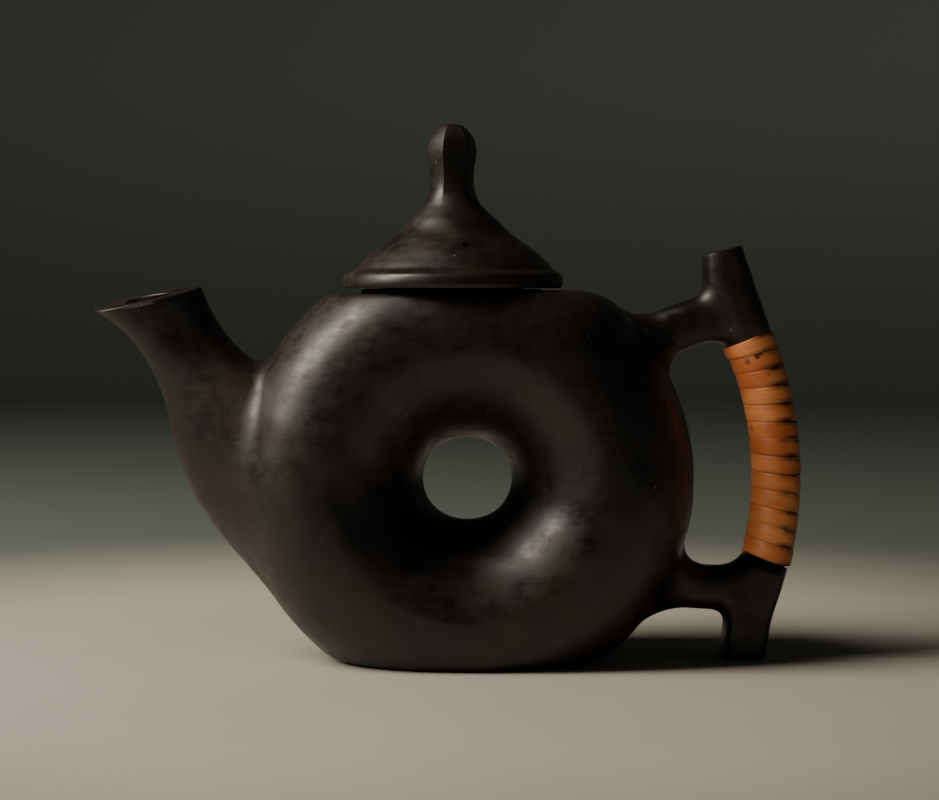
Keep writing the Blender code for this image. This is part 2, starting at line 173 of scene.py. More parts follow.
def off_oval(u, v, wide, deep, power):
    """How far a place (u wide, v deep) lies off a rounded oval, and the way off it in u and v: the
    level (|u|^power + |v|^power)^(1/power) - 1, over the length of its slope."""
    level = np.maximum(np.abs(u) ** power + np.abs(v) ** power, TINY)
    share = level ** (1 / power - 1)
    slope_u = share * np.abs(u) ** (power - 1) * np.sign(u) / wide
    slope_v = share * np.abs(v) ** (power - 1) * np.sign(v) / deep
    length = np.maximum(np.hypot(slope_u, slope_v), TINY)
    return (level ** (1 / power) - 1) / length, slope_u / length, slope_v / length


def bezier(points, t):
    """Points of a cubic curve with four control points, at each t."""
    t = np.asarray(t)[..., None]
    a, b, c, d = (np.array(p, float) for p in points)
    s = 1 - t
    return s**3 * a + 3 * s * s * t * b + 3 * s * t * t * c + t**3 * d


def through(points, steps):
    """A smooth run through points: Catmull-Rom spans, each a cubic with chord-sixth handles."""
    p = np.array(points, float)
    ends = np.concatenate([p[:1], p, p[-1:]])
    t = np.linspace(0, 1, steps, endpoint=False)
    before, a, b, after = ends[:-3], ends[1:-2], ends[2:-1], ends[3:]
    spans = [bezier((p0, p0 + (p1 - q0) / 6, p1 - (q1 - p0) / 6, p1), t)
             for q0, p0, p1, q1 in zip(before, a, b, after)]
    return np.concatenate(spans + [p[-1:]])


def soft_min(a, b, reach):
    """The lower of two values, rounded where they lie within reach of each other."""
    near = np.maximum(reach - np.abs(a - b), 0) / reach
    return np.minimum(a, b) - near * near * reach / 4


def soft_max(a, b, reach):
    """The higher of two values, rounded in the same way."""
    return -soft_min(-a, -b, reach)


def ease(share):
    """A share of 0 to 1 that starts and ends gently: 3 s^2 - 2 s^3."""
    return share * share * (3 - 2 * share)


def loop_angles(count):
    """Angles once round a loop, without the last one that would repeat the first."""
    return np.linspace(0, TAU, count, endpoint=False)


def unit(vectors):
    """Vectors over their own length."""
    return vectors / np.maximum(np.linalg.norm(vectors, axis=-1, keepdims=True), POINT_LIKE)


def outward(grid):
    """Unit normals, the cross product of the grid's slopes round its loops and along them, turned so
    that they point away from the middle of each loop."""
    round_slope = np.roll(grid, -1, 0) - np.roll(grid, 1, 0)
    normals = unit(np.cross(round_slope, np.gradient(grid, axis=1)))
    away = grid - grid.mean(0, keepdims=True)
    return normals * np.sign((normals * away).sum(-1, keepdims=True).mean())


def wobble(points, height):
    """Shallow hollows from the hand: a sum of slow waves in X, Y and Z, 20 to 60 mm long."""
    x, y, z = np.moveaxis(points * 1000, -1, 0)
    waves = (np.sin(x / 7.3 + 1.3 * np.sin(z / 11.0)) * np.cos(y / 8.1 + z / 15.0)
             + np.sin(z / 5.9 - x / 13.0 + 2.0) * np.cos(y / 6.7 - 1.1)
             + 0.7 * np.sin(x / 4.1 + z / 3.7 + y / 5.3))
    return waves * height / 2


def turned(profile, centre_x, turns):
    """A profile of (radius, z) carried round a vertical axis."""
    turn = loop_angles(turns)[:, None]
    radius, z = profile[None, :, 0], profile[None, :, 1] + 0 * turn
    return np.stack([centre_x + radius * np.cos(turn), radius * np.sin(turn), z], -1)


def faces_of(u, v, closed_v):
    """Index quads of a u by v grid, joined end to start along u, and along v where it is closed."""
    i = np.arange(u)[:, None]
    j = np.arange(v if closed_v else v - 1)[None, :]
    next_i, next_j = (i + 1) % u, (j + 1) % v
    quads = np.stack([i * v + j, next_i * v + j, next_i * v + next_j, i * v + next_j], -1)
    return quads.reshape(-1, 4)


def signed_volume(points, quads):
    """Six times the volume inside quads, by tetrahedra from the origin: below zero if they face in."""
    a, b, c, d = (points[quads[:, k]] for k in range(4))
    return (np.cross(b - a, c - a) * a).sum() + (np.cross(c - a, d - a) * a).sum()


def mesh_piece(name, grids, smooth_angle=SMOOTH_ANGLE):
    """A mesh object from one or more closed grids. Each is (points, closed_v, sign): points is a
    u by v by 3 array whose u loops are closed, open ends in v are capped, and a sign of -1 turns
    the faces in, for the wall of a hollow."""
    points, faces = [], []
    start = 0
    for grid, closed_v, sign in grids:
        u, v = grid.shape[:2]
        flat = grid.reshape(-1, 3)
        quads = faces_of(u, v, closed_v)
        ring = np.arange(u) * v
        caps = [] if closed_v else [ring[::-1], ring + v - 1]
        if signed_volume(flat - flat.mean(0), quads) * sign < 0:
            quads = quads[:, ::-1]
            caps = [cap[::-1] for cap in caps]
        points.append(flat)
        faces += (quads + start).tolist() + [(cap + start).tolist() for cap in caps]
        start += len(flat)
    mesh = bpy.data.meshes.new(name)
    mesh.from_pydata(np.concatenate(points), [], faces)
    mesh.update()
    mesh.shade_smooth()
    mesh.set_sharp_from_angle(angle=math.radians(smooth_angle))
    made = bpy.data.objects.new(name, mesh)
    bpy.context.scene.collection.objects.link(made)
    return made


def rod_grid(start, end, radius, sides=64):
    """A plain round rod from start to end, for carving."""
    start, end = np.array(start, float), np.array(end, float)
    along = unit(end - start)
    side = unit(np.cross(along, (0.31, 0.95, 0.05)))  # any direction that no rod here runs along
    up = np.cross(along, side)
    turn = loop_angles(sides)[:, None, None]
    rim = radius * (np.cos(turn) * side + np.sin(turn) * up)
    return rim + np.stack([start, end])[None]


def carve(piece, grid):
    """Cuts a capped grid out of a piece and keeps the result as the piece's own mesh."""
    tool = mesh_piece(piece.name + "_tool", [(grid, False, 1)])
    cut = piece.modifiers.new("cut", "BOOLEAN")
    cut.object = tool
    cut.operation = "DIFFERENCE"
    cut.solver = "EXACT"
    graph = bpy.context.evaluated_depsgraph_get()
    mesh = bpy.data.meshes.new_from_object(piece.evaluated_get(graph))
    piece.modifiers.clear()
    old = piece.data
    piece.data = mesh
    mesh.name = piece.name
    bpy.data.meshes.remove(old)
    bpy.data.objects.remove(tool)
    mesh.set_sharp_from_angle(angle=math.radians(SMOOTH_ANGLE))


def finish(piece, body, material, slot_name, *nodes):
    """Gives a piece its material, hangs it on its body's empty and hides the frame's nodes that it stands
    for.
    """
    piece.data.materials.clear()
    piece.data.materials.append(material)
    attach(piece, body)
    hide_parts(*nodes)


def finish_clay(piece, body, *nodes):
    """Finishes a piece of clay."""
    finish(piece, body, clay_material(), "burnished_clay", *nodes)


# ---- The ring

OUTER_POWER = 2.2  # roundness of the ring's section outside its crest
FUNNEL_POWER = 1.65  # and inside it, down to the hole
FOOT_ROUNDING = 0.0040
SEAT_ROUNDING = 0.0012
SHOULDER_ROUNDING = 0.0045  # and so much more on the handle's side
SEAT_STEP = 0.0005  # collar stands this far above the ring's cut top
SEAT_DROP = 0.0013  # the cut top falls this much more towards the spout
SEAT_SLOPE_START = 0.0330
SEAT_SLOPE_RUN = 0.0300
SPOUT_SHOULDER = (128, 0.50)  # degrees round the ring, and spread in radians
HANDLE_SHOULDER = (52, 0.30)
FOOT = (270, 0.60)
HANDLE_SWELL = 0.0012  # fullness of the shoulder between the lid and the handle
BASE_DRAW = 0.0014  # how far the ring is drawn in beside its foot
FOOT_CALM = 0.012  # height above the resting face at which the hand's wobble is whole
RING_STEPS = (384, 176)  # round the axis, and round the section
HOLLOW_STEPS = (120, 56)
COLLAR_RADIUS = 0.0336
COLLAR_DEPTH = 0.0050
PORT_RISE = 0.0080  # the spout's port above the ring's axis
PORT_RADIUS = 0.0085


def around(turn, degrees, spread):
    """A smooth hump, 1 at an angle round the ring and fading away over spread radians."""
    off = np.angle(np.exp(1j * (turn - math.radians(degrees))))
    return np.exp(-(off / spread) ** 2)


def ring_sizes(turn, inset=0.0):
    """Half width of the ring's section and the radius of its crest, at each angle round the axis."""
    settings = bpy.context.scene.teapot_ring
    outer = RING_RADIUS + (settings.shoulder_swell * around(turn, *SPOUT_SHOULDER)
                           + HANDLE_SWELL * around(turn, *HANDLE_SHOULDER)
                           - BASE_DRAW * around(turn, *FOOT))
    squash = np.sin(turn) ** 2
    hole = settings.hole_width + (settings.hole_height - settings.hole_width) * squash
    return (outer - hole) / 2 - inset, (outer + hole) / 2


def ring_grid(turns, rounds, inset=0.0):
    """The ring: a rounded oval section carried round the Y axis. Outside the crest the section is
    a superellipse of power 2.2, inside it one of power 1.65, like a funnel down to the hole."""
    turn = loop_angles(turns)[:, None]
    angle = loop_angles(rounds)[None, :]
    wide, crest = ring_sizes(turn, inset)
    power = np.where(np.cos(angle) > 0, OUTER_POWER, FUNNEL_POWER)
    radius = crest + wide * power_curve(np.cos(angle), power)
    y = (HALF_DEPTH - inset) * power_curve(np.sin(angle), power) + 0 * turn
    return np.stack([radius * np.cos(turn), y, AXIS_HEIGHT + radius * np.sin(turn)], -1)


def ring_height(points):
    """How far points stand off the ring's outside, and the way out of it."""
    rel = points - AXIS
    radius = np.hypot(rel[..., 0], rel[..., 2])
    turn = np.arctan2(rel[..., 2], rel[..., 0])
    wide, crest = ring_sizes(turn)
    u = (radius - crest) / wide
    power = np.where(u > 0, OUTER_POWER, FUNNEL_POWER)
    height, way_r, way_y = off_oval(u, rel[..., 1] / HALF_DEPTH, wide, HALF_DEPTH, power)
    return height, np.stack([way_r * np.cos(turn), way_y, way_r * np.sin(turn)], -1)


def cut_flat(points, inset=0.0):
    """Levels the ring where the pot stands and where the lid's collar sits."""
    left = np.clip((SEAT_SLOPE_START - points[..., 0]) / SEAT_SLOPE_RUN, 0, 1)
    high = SEAT_HEIGHT - SEAT_STEP - SEAT_DROP * ease(left) - inset
    z = soft_max(points[..., 2], inset, FOOT_ROUNDING)
    points[..., 2] = soft_min(z, high, SEAT_ROUNDING + SHOULDER_ROUNDING * (1 - left))
    return points


def hand_finish(grid, height):
    """Moves a grid along its normals by the wobble, fading to none at the resting face."""
    fade = np.clip(grid[..., 2:] / FOOT_CALM, 0, 1) ** 2
    return grid + outward(grid) * wobble(grid, height)[..., None] * fade


class TEAPOT_OT_ring(bpy.types.Operator):
    """Build the hollow ring, flat at its foot and under the lid, with its mouth and the spout's port"""
    bl_idname = "teapot.ring"
    bl_label = "Ring body"

    def execute(self, context):
        settings = context.scene.teapot_ring
        outside = ring_grid(*RING_STEPS)
        rise = wobble(outside, settings.hand_wobble)[..., None]
        outside = cut_flat(outside + ring_height(outside)[1] * rise)
        inside = cut_flat(ring_grid(*HOLLOW_STEPS, settings.wall), settings.wall)
        made = mesh_piece("ring_body", [(outside, True, 1), (inside, True, -1)])
        through_top = SEAT_HEIGHT + 0.01
        under_top = SEAT_HEIGHT - 0.014
        carve(made, rod_grid((LID_X, 0, under_top), (LID_X, 0, through_top), settings.mouth_radius, 96))
        port_z = AXIS_HEIGHT + PORT_RISE
        carve(made, rod_grid((-RING_RADIUS - 0.006, 0, port_z), (-RING_RADIUS + 0.012, 0, port_z),
                             PORT_RADIUS))
        finish_clay(made, "pot", "body_front_shell", "body_back_shell", "base_slab")
        return {"FINISHED"}


class TEAPOT_OT_seat(bpy.types.Operator):
    """Build the round collar that carries the lid, with the filling mouth through it"""
    bl_idname = "teapot.seat"
    bl_label = "Lid seat"

    def execute(self, context):
        mouth = context.scene.teapot_ring.mouth_radius
        collar, high, low = COLLAR_RADIUS, SEAT_HEIGHT, SEAT_HEIGHT - COLLAR_DEPTH
        profile = through([(mouth, low), (mouth, high - 0.0008), (mouth + 0.0008, high),
                           (collar - 0.0012, high), (collar, high - 0.0012),
                           (collar - 0.0002, high - 0.0030), (collar + 0.0003, low)], 5)
        made = mesh_piece("lid_seat_collar", [(turned(profile, LID_X, 192), True, 1)])
        finish_clay(made, "pot", "lid_seat")
        return {"FINISHED"}


# ---- Joints between limbs and what they stand on

SETTLING_STEPS = 3  # times that a spread line is put back to its height above the surface
SEAL_DEPTH = 0.0004  # how deep a joint's last row is sunk
JOINT_MELT = 1.6  # how smoothly a limb's foot runs into the surface; see spread_foot
SPOUT_MELT_UNDER = 0.4  # and so much more under the spout


def resample(lines, start, steps, crowd):
    """New points along each line, from its own start to its end, crowded towards the start."""
    share = np.linspace(0, 1, steps) ** crowd
    last = lines.shape[1] - 1
    place = start[:, None] + (last - start[:, None]) * share[None, :]
    low = np.clip(place.astype(int), 0, last - 1)
    part = (place - low)[..., None]
    row = np.arange(lines.shape[0])[:, None]
    return lines[row, low] * (1 - part) + lines[row, low + 1] * part


def spread_foot(lines, height, reach, steps, crowd, melt=JOINT_MELT, sink=SEAL_DEPTH):
    """Starts each line where it leaves the surface below and spreads it there: at height h the line
    moves out by reach (1 - sqrt(h / reach))^melt, so that it leaves the surface along it. A melt
    of 1 keeps a crease at the far side of the joint, one near 2 smooths it away. A last row is
    sunk to seal the joint."""
    heights = height(lines)[0]
    inside = heights < 0
    last = lines.shape[1] - 1
    first = last - np.argmax(inside[:, ::-1], axis=1)
    first = np.clip(np.where(inside.any(1), first, 0), 0, last - 1)
    row = np.arange(lines.shape[0])
    low, high = heights[row, first], heights[row, first + 1]
    start = first + np.clip(-low / np.maximum(high - low, TINY), 0, 1)
    grid = resample(lines, start, steps, crowd)
    stand, way = height(grid)
    stand = np.maximum(stand, 0)
    sides = outward(grid)
    along = unit(sides - (sides * way).sum(-1, keepdims=True) * way)
    reach, melt = (np.broadcast_to(np.reshape(v, (-1, 1)), stand.shape) for v in (reach, melt))
    spread = reach * (1 - np.sqrt(np.clip(stand / reach, 0, 1))) ** melt
    grid = grid + along * spread[..., None]
    near = (spread > 1e-6)[..., None]
    for _ in range(SETTLING_STEPS):
        now, way = height(grid)
        grid = np.where(near, grid - way * (now - stand)[..., None], grid)
    sealed = grid[:, :1] - height(grid[:, :1])[1] * sink
    return np.concatenate([sealed, grid], axis=1)


# ---- Spout

SPOUT_TIP = (float(SPOUT_LOW[0]), 0.1293)
SPOUT_BACK = (-0.0985, float(SPOUT_HIGH[2]))
SPOUT_UNDER = ((-0.0640, AXIS_HEIGHT - 0.0380), (-0.1290, AXIS_HEIGHT - 0.0080),
               (-0.0925, AXIS_HEIGHT + 0.0365), SPOUT_TIP)
SPOUT_OVER = ((-0.0560, AXIS_HEIGHT + 0.0330), (-0.0790, AXIS_HEIGHT + 0.0395),
              (-0.0905, AXIS_HEIGHT + 0.0510), SPOUT_BACK)
SPOUT_MOUTH_HALF_DEPTH = 0.0125
SPOUT_ROOT_HALF_DEPTH = 0.0260
SPOUT_SWELL_POWER = 1.4  # how soon the root's depth is lost going up
SPOUT_LIP = 0.0118  # wall at the lip, front and back
SPOUT_LIP_SIDE = 0.0052  # and at its sides
SPOUT_WALL = 0.0060
SPOUT_ROLL = math.radians(8.0)
SPOUT_POWER = 2.05
SPOUT_LEAN_PLACES = (0, 0.45, 0.75, 1)
SPOUT_LEAN = (0.08, 0.14, -0.14, -0.28)  # where the side ridges lie: -1 lower flank, +1 upper
SPOUT_SIDES = 160
CHANNEL_START = 0.12  # share of the way up at which the channel through the spout starts
LIP_ROUNDING = 0.0007
LIP_STEPS = 7


def spout_lines(t, thin=0.0):
    """Oval sections strung between the spout's lower and upper flanks, which are cubic curves:
    middle + half cos(angle) along the string, depth sin(angle) across it, rolled at the rim."""
    low, high = bezier(SPOUT_UNDER, t), bezier(SPOUT_OVER, t)
    lip, side = (thin * (SPOUT_WALL + (rim - SPOUT_WALL) * t**3) for rim in (SPOUT_LIP, SPOUT_LIP_SIDE))
    half = (high - low) / 2
    half = half * (1 - lip / np.linalg.norm(half, axis=-1))[:, None]
    middle = (low + high) / 2
    spread = (1 - t) ** SPOUT_SWELL_POWER
    deep = SPOUT_MOUTH_HALF_DEPTH + (SPOUT_ROOT_HALF_DEPTH - SPOUT_MOUTH_HALF_DEPTH) * spread - side
    roll = SPOUT_ROLL * t * t
    angle = loop_angles(SPOUT_SIDES)[:, None]
    across = deep[None] * power_curve(np.sin(angle), SPOUT_POWER)
    lean = np.polyval(np.polyfit(SPOUT_LEAN_PLACES, SPOUT_LEAN, 3), t)
    ends = power_curve(np.cos(angle), SPOUT_POWER) + lean * np.sin(angle) ** 2
    return np.stack([middle[:, 0] + half[:, 0] * ends,
                     across * np.cos(roll),
                     middle[:, 1] + half[:, 1] * ends + across * np.sin(roll)], -1)


def rounded_rim(outer, inner):
    """Rows across a flat lip from its outer edge to its inner one, both edges eased by a quarter
    circle."""
    across = unit(inner - outer)
    width = np.linalg.norm(inner - outer, axis=-1, keepdims=True)
    normal = unit(np.cross(np.roll(outer, -1, 0) - np.roll(outer, 1, 0), across))
    normal = normal * np.sign(normal[:, 2:].mean())
    quarter = np.linspace(0, 1, LIP_STEPS)
    sag = normal[:, None] * (LIP_ROUNDING * (1 - np.sqrt(1 - (1 - quarter) ** 2)))[:, None]
    aside = across[:, None] * (LIP_ROUNDING * quarter)[:, None]
    first = outer[:, None] + aside - sag
    last = (inner[:, None] - aside - sag)[:, ::-1]
    flat = np.linspace(0.1, 0.9, 9)[:, None]
    middle = outer[:, None] + across[:, None] * (LIP_ROUNDING + (width - 2 * LIP_ROUNDING)[:, None] * flat)
    return np.concatenate([first, middle, last], axis=1)


class TEAPOT_OT_spout(bpy.types.Operator):
    """Build the hollow spout, with its root spread over the ring"""
    bl_idname = "teapot.spout"
    bl_label = "Spout"

    def execute(self, context):
        joints = context.scene.teapot_joints
        under = 0.5 - 0.5 * np.cos(loop_angles(SPOUT_SIDES))
        # The root spreads most under the spout and least beside its upper flank.
        reach = joints.spout_spread * (0.12 + 1.45 * under**1.7 + 0.5 * (1 - under) ** 8)
        outside = spread_foot(spout_lines(np.linspace(0, 1, 400)), ring_height, reach, 150, 1.9,
                              JOINT_MELT + SPOUT_MELT_UNDER * under)
        lift = wobble(outside, context.scene.teapot_ring.hand_wobble)[..., None]
        outside = outside + outward(outside) * lift
        channel = spout_lines(np.linspace(CHANNEL_START, 1, 60), 1.0)
        rim = rounded_rim(outside[:, -1], channel[:, -1])
        grid = np.concatenate([outside[:, :-1], rim, channel[:, -2::-1]], axis=1)
        made = mesh_piece("spout_body", [(grid, True, 1)], 60)
        finish_clay(made, "pot", "spout")
        return {"FINISHED"}


# ---- Handle

GRIP_ARC_RADIUS = 0.1300
GRIP_TOP = math.asin((float(CORE_HIGH[2]) - AXIS_HEIGHT) / (GRIP_ARC_RADIUS + 0.0078)) - 0.002
GRIP_BOTTOM = math.radians(-13.6)
GRIP_CENTRE = np.array((GRIP_APEX_X - GRIP_ARC_RADIUS, AXIS_HEIGHT))
ARM_HALF_DEPTH = 0.0100
ARM_SETBACK = 0.0017  # an arm is so much shallower than its post
ARM_POWER = 2.8
UPPER_POST_POWER = (2.3, 3.8)  # rounder on the ring's side than on the hand's
LOWER_POST_POWER = 3.8
LIMB_SIDES = 120
LIMB_WOBBLE = 0.6  # share of the ring's wobble that a limb has
POST_TOP_ROUNDING = 0.05  # share of the upper post over which its end is domed
SUMMIT_TILT = (-0.26, 0.0, 0.97)
SUMMIT_SOFTNESS = 0.0012
GRIP_END_SOFTNESS = 0.0003
BRIDGE_SINK = 0.0010  # how deep an arm's last row is sunk in its post
FOOT_TOOL_DEPTH = 0.02
FOOT_TOOL_RADIUS = 0.04


def grip_point(angle):
    """The point (x, z) of the grip's arc at an angle."""
    return GRIP_CENTRE + GRIP_ARC_RADIUS * np.stack([np.cos(angle), np.sin(angle)], -1)


def grip_end(angle, sense):
    """The plane square to the grip at an angle along it: a point on it and its way out of the grip."""
    x, z = grip_point(angle)
    return (x, 0.0, z), (sense * math.sin(angle), 0.0, -sense * math.cos(angle))


def limb(points, steps, wide, deep):
    """A limb's path through points (x, z), and its half width and half depth along it, each given
    as (share of the way, size)."""
    path = through(points, steps)
    share = np.linspace(0, 1, len(path))
    return path, *(np.interp(share, *np.transpose(sizes)) for sizes in (wide, deep))


def limb_lines(path, wide, deep, power, sides=LIMB_SIDES):
    """A rounded rectangle carried along a path in the XZ plane: wide across the path in that
    plane, deep along Y. Its power may differ between the path's left and right sides."""
    along = unit(np.gradient(path, axis=0))
    across = np.stack([-along[:, 1], along[:, 0]], -1)
    angle = loop_angles(sides)[:, None]
    power = np.where(np.cos(angle) > 0, *np.broadcast_to(power, 2))
    a = power_curve(np.cos(angle), power) * wide[None]
    b = power_curve(np.sin(angle), power) * deep[None]
    return np.stack([path[:, 0] + a * across[:, 0], b, path[:, 1] + a * across[:, 1]], -1)


def limb_height(path, wide, deep, powers):
    """A height function for spread_foot: distance off a limb's side, from the nearest point of
    its path."""
    along = unit(np.gradient(path, axis=0))

    def height(points):
        flat = points[..., [0, 2]]
        near = np.argmin(((flat[..., None, :] - path) ** 2).sum(-1), axis=-1)
        across = np.stack([-along[near][..., 1], along[near][..., 0]], -1)
        u = ((flat - path[near]) * across).sum(-1) / wide[near]
        power = np.where(u > 0, *np.broadcast_to(powers, 2))
        off, way_u, way_y = off_oval(u, points[..., 1] / deep[near], wide[near], deep[near], power)
        return off, np.stack([way_u * across[..., 0], way_y, way_u * across[..., 1]], -1)

    return height


def domed_end(path, wide, deep):
    """Draws a limb's sections in over its last stretch, so that its end is domed."""
    share = np.linspace(0, 1, len(path))
    close = np.clip((share - (1 - POST_TOP_ROUNDING)) / POST_TOP_ROUNDING, 0, 1)
    pull = np.sqrt(np.clip(1 - close**2.4, 0.02, 1))
    return path, wide * pull, deep * pull


def facet(grid, point, way, softness):
    """Presses a flat onto a grid: what lies past the plane moves back onto it."""
    way = unit(np.array(way, float))
    past = ((grid - np.array(point)) * way).sum(-1)
    pressed = soft_min(past, np.zeros_like(past), softness)
    return grid + (pressed - past)[..., None] * way


def handle_piece(name, post_grid, post, power, arm, ring_reach, post_reach, end):
    """A post and the arm that joins it to the ring, spread where it lands; at the post mostly in
    the handle's own plane, above and below the arm."""
    height = bpy.context.scene.teapot_ring.hand_wobble * LIMB_WOBBLE
    post_grid = hand_finish(post_grid, height)
    grid = spread_foot(limb_lines(*arm, ARM_POWER), ring_height, ring_reach, 60, 1.6)
    in_plane = np.abs(np.cos(loop_angles(LIMB_SIDES))) ** 1.5
    reach = post_reach * (0.40 + 0.60 * in_plane)
    grid = spread_foot(grid[:, ::-1], limb_height(*post, power), reach, 90, 1.4, 2.0, BRIDGE_SINK)
    grid = facet(hand_finish(grid, height), *end, GRIP_END_SOFTNESS)
    return [mesh_piece(name + part, [(shape, False, 1)], 50)
            for part, shape in (("_post", post_grid), ("_bridge", grid))]


def upper_arm(joints):
    """The arm from the shoulder, whose post stands up past it as a thumb rest."""
    top = grip_point(GRIP_TOP)
    post = domed_end(*limb([top + (0.0001, 0.0003), top + (-0.0032, 0.0080), top + (-0.0066, 0.0170),
                            top + (-0.0088, 0.0260), top + (-0.0102, 0.0345)], 24,
                           [(0, 0.0083), (0.30, 0.0092), (0.62, 0.0091), (0.85, 0.0077), (1, 0.0070)],
                           [(0, 0.0090), (0.12, ARM_HALF_DEPTH), (1, 0.0092)]))
    arm = limb([(0.0600, AXIS_HEIGHT + 0.0470), (0.0720, AXIS_HEIGHT + 0.0530),
                (0.0830, AXIS_HEIGHT + 0.0575), (0.0930, AXIS_HEIGHT + 0.0598),
                top + (-0.0060, 0.0115)], 24,
               [(0, 0.0092), (0.4, 0.0086), (1, 0.0082)], [(0, ARM_HALF_DEPTH - ARM_SETBACK)])
    summit = (top[0] - 0.0105, 0.0, top[1] + 0.0322)
    post_grid = facet(limb_lines(*post, UPPER_POST_POWER), summit, SUMMIT_TILT, SUMMIT_SOFTNESS)
    return handle_piece("upper_arm", post_grid, post, UPPER_POST_POWER, arm, joints.arm_spread,
                        joints.post_spread * 1.3, grip_end(GRIP_TOP, 1))


def lower_arm(joints):
    """The arm below the grip, whose post runs down to the resting face and is cut level there."""
    low = grip_point(GRIP_BOTTOM)
    post = limb([low + (-0.0003, -0.0003), low + (-0.0035, -0.0100), low + (-0.0066, -0.0220),
                 (low[0] - 0.0088, -0.0014)], 28,
                [(0, 0.0083), (0.25, 0.0087), (0.7, 0.0083), (1, 0.0079)],
                [(0, 0.0090), (0.12, ARM_HALF_DEPTH), (1, 0.0098)])
    arm = limb([(0.0640, AXIS_HEIGHT - 0.0370), (0.0760, AXIS_HEIGHT - 0.0395),
                (0.0880, AXIS_HEIGHT - 0.0405), low + (-0.0040, -0.0100)], 28,
               [(0, 0.0080)], [(0, ARM_HALF_DEPTH - ARM_SETBACK)])
    pieces = handle_piece("lower_arm", limb_lines(*post, LOWER_POST_POWER), post, LOWER_POST_POWER, arm,
                          joints.arm_spread * 1.35, joints.post_spread * 1.5, grip_end(GRIP_BOTTOM, -1))
    carve(pieces[0], rod_grid((low[0], 0, -FOOT_TOOL_DEPTH), (low[0], 0, 0), FOOT_TOOL_RADIUS))
    return pieces


class TEAPOT_OT_arms(bpy.types.Operator):
    """Build the handle's two clay arms, with the thumb rest and the foot"""
    bl_idname = "teapot.arms"
    bl_label = "Handle arms"

    def execute(self, context):
        for build, node in ((upper_arm, "upper_handle_arm"), (lower_arm, "lower_handle_arm")):
            for piece in build(context.scene.teapot_joints):
                finish_clay(piece, "pot", node)
        return {"FINISHED"}


# ---- Cane

STRIP_SIDE = np.array((-1, -1, -0.985, -0.93, -0.65, -0.3, 0, 0.3, 0.65, 0.93, 0.985, 1, 1))
STRIP_RISE = np.array((0, 0.84, 0.95, 1, 1, 1, 1, 1, 1, 1, 0.95, 0.84, 0))
STRIP_BOW = 0.00012  # how much fuller the strip is at its middle
STRIP_PART = 0.30  # share by which the strip stays too narrow for the bend's outside
STRIP_START = 0.42  # in turns from the winding's low end: where the strip starts
STRIP_FINISH = 0.20  # and stops, from its high end
STRIP_PHASE = math.radians(54)
STRIP_STEPS = 96  # points to a turn
STRIP_STRAY = 0.0012  # in radians along the grip: how unevenly the turns lie
STRIP_DIP = 0.00012  # how much lower some turns lie than others
LEAST_STRIP = 0.002  # in radians along the grip: its least width, at the grip's ends
HUG = 0.0035  # the width is right this far inside the grip's arc
CANE_FLARE = 0.0005  # how much the first and last turns stand out over the arms' ends
CANE_SHOULDER = 0.0006  # extra fullness of the uppermost turn, inside the bend
CORE_CLEARANCE = 0.0002
CORE_OVERRUN = 0.002  # in radians: how far the core goes on past the cane


def whole_turns(pitch):
    """How many turns of a pitch fill the grip."""
    return round((GRIP_TOP - GRIP_BOTTOM) * GRIP_ARC_RADIUS / pitch)


def cane_strip(name, pitch, thickness):
    """One strip wound as a helix: its middle climbs one pitch per turn along the grip's arc. Its
    section is a flat band with eased corners. Its width hardly changes round a turn, so that the
    turns touch inside the grip's bend and part a little outside it. Where it would pass an end of
    the grip its edge stays on that end, so that both ends lie square to the grip."""
    whole = whole_turns(pitch)
    step = (GRIP_TOP - GRIP_BOTTOM) / whole
    turns = whole + 1
    wind = np.linspace(STRIP_START, turns - STRIP_FINISH, turns * STRIP_STEPS)
    place = GRIP_BOTTOM + (wind - 0.5) * step
    turn = wind * TAU + STRIP_PHASE
    rng = np.random.default_rng(7)
    marks = np.arange(0, turns + 2)
    stray = np.interp(wind, marks, rng.normal(0, STRIP_STRAY, len(marks)))
    proud = np.interp(wind, marks, rng.uniform(-STRIP_DIP, 0.0, len(marks)))
    tight = (GRIP_ARC_RADIUS - HUG) / (GRIP_ARC_RADIUS + GRIP_RADIUS * np.cos(turn))
    half = step / 2 * (0.999 - STRIP_PART * (1 - np.minimum(tight, 1)))
    low = np.maximum(place - half + stray, GRIP_BOTTOM)
    high = np.maximum(np.minimum(place + half + stray, GRIP_TOP), low + LEAST_STRIP)
    spot = low[None] + (high - low)[None] * (STRIP_SIDE[:, None] + 1) / 2
    inside = np.clip(-np.cos(turn), 0, 1)
    flare = (CANE_FLARE * np.exp(-wind**2 / 1.2)
             + (CANE_FLARE + CANE_SHOULDER * inside) * np.exp(-(turns - wind) ** 2 / 2.0))
    bow = STRIP_BOW * (1 - STRIP_SIDE**2)
    inner = GRIP_RADIUS - thickness - STRIP_BOW
    radius = inner + (STRIP_RISE * (thickness + bow))[:, None] + (proud + flare)[None]
    out = GRIP_ARC_RADIUS + radius * np.cos(turn)
    points = np.stack([out * np.cos(spot) + GRIP_CENTRE[0], -radius * np.sin(turn),
                       out * np.sin(spot) + GRIP_CENTRE[1]], -1)
    made = mesh_piece(name, [(points, False, 1)], 70)
    store_strip_map(made.data, wind, STRIP_SIDE, np.cos(turn))
    return made


def store_strip_map(mesh, wind, side, outside):
    """Keeps on each point how many turns along the strip it lies, where across it, from 0 to 1,
    and how far towards the outside of the grip's bend, from 0 to 1."""
    across, along = side[:, None] * 0.5 + 0.5, outside[None] * 0.5 + 0.5
    table = np.stack(np.broadcast_arrays(wind[None], across, along), -1)
    layer = mesh.attributes.new("strip", "FLOAT_VECTOR", "POINT")
    layer.data.foreach_set("vector", table.reshape(-1).astype(np.float32))


